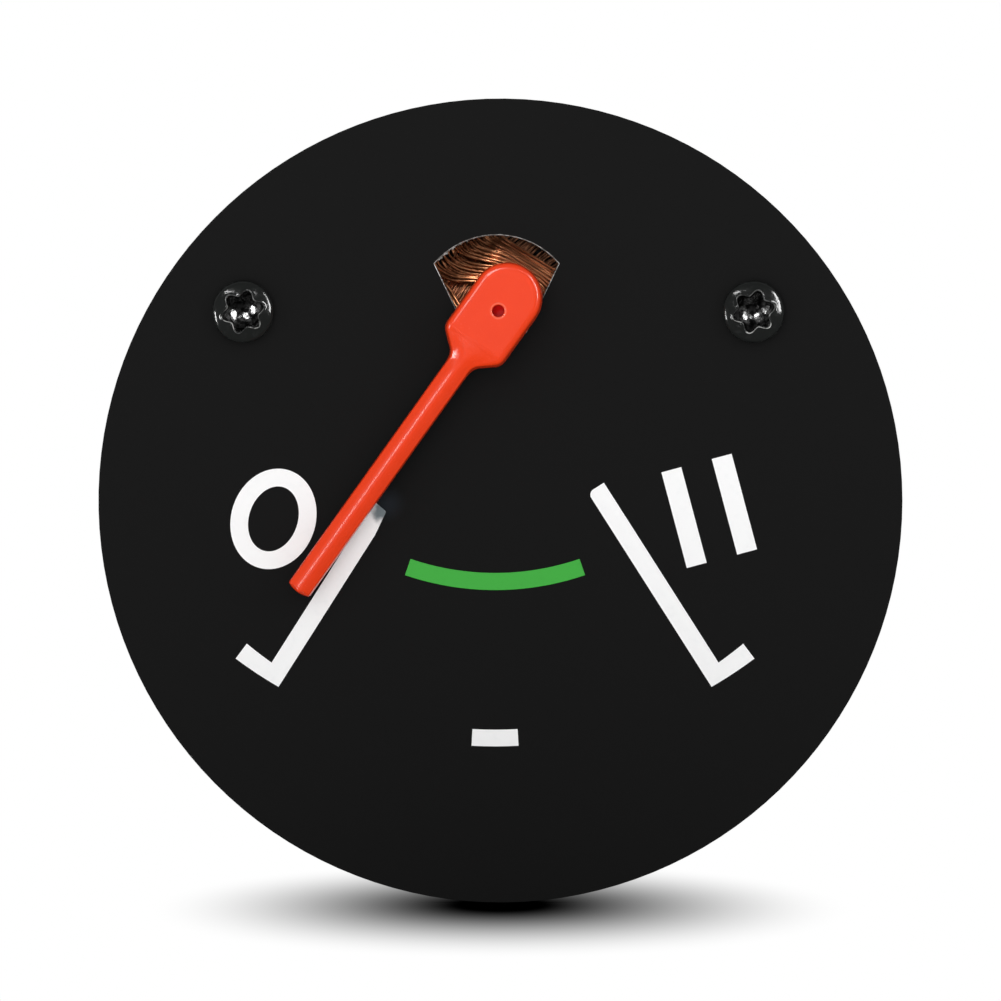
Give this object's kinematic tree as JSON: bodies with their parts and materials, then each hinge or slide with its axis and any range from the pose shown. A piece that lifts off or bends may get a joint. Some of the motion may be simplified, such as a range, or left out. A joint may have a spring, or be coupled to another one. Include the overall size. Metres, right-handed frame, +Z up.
{
  "type": "water temperature gauge",
  "caption": "Bare round water temperature gauge insert: matt black dial, red pointer, crossed-coil movement, terminal board and rear studs.",
  "frame": {"origin": "centre of the rear stud circle, where the pointer's axis meets the seat plane of the stud collars", "axes": "+X to the right as the dial is read, +Y out of the back along the studs and the pointer's axis, +Z up"},
  "size_m": [0.052, 0.0379, 0.052],
  "materials": {
    "dial_black": "matt black paint on sheet metal",
    "print_white": "matt white printing ink",
    "print_green": "matt green printing ink",
    "screw_black": "glossy black plating on steel",
    "pointer_red": "moulded plastic, satin gloss",
    "brass": "turned brass",
    "steel": "plated steel",
    "magnet_grey": "ground magnet alloy",
    "bearing_bronze": "oiled bronze",
    "former_black": "moulded plastic",
    "copper": "enamelled copper wire",
    "cup_steel": "drawn nickel-iron sheet",
    "frame_plastic": "moulded plastic, natural colour",
    "board_brown": "phenolic paper board",
    "fibre_red": "vulcanised fibre",
    "tinned": "tinned brass and wire",
    "resistor_ceramic": "lacquered ceramic"
  },
  "bodies": {
    "movement": {"dial_plate": "dial_black", "scale_marks": "print_white", "normal_band": "print_green", "dial_screws": "screw_black", "front_bearing": "bearing_bronze", "rear_bearing": "bearing_bronze", "former_front": "former_black", "former_rear": "former_black", "inner_coil": "copper", "inner_winding": "copper", "outer_coil": "copper", "outer_winding": "copper", "return_magnet": "magnet_grey", "shield_cup": "cup_steel", "movement_frame": "frame_plastic", "pillar_inserts": "brass", "push_nuts": "steel", "terminal_board": "board_brown", "board_screws": "steel", "terminal_studs": "brass", "fibre_washers": "fibre_red", "solder_tags": "tinned", "stud_nuts": "brass", "resistor_body": "resistor_ceramic", "resistor_wires": "tinned"},
    "pointer_assembly": {"pointer": "pointer_red", "counterweight": "brass", "arbor": "steel", "rotor_hub": "brass", "rotor_magnet": "magnet_grey"}
  },
  "joints": [
    {"name": "pointer_sweep", "type": "hinge", "parent": "movement", "child": "pointer_assembly", "pos_m": [0, 0, 0], "axis": [0, -1, 0], "range_deg": [0, 71], "stiffness_Nm_per_rad": 0.00002, "springref_deg": -28.65}
  ]
}
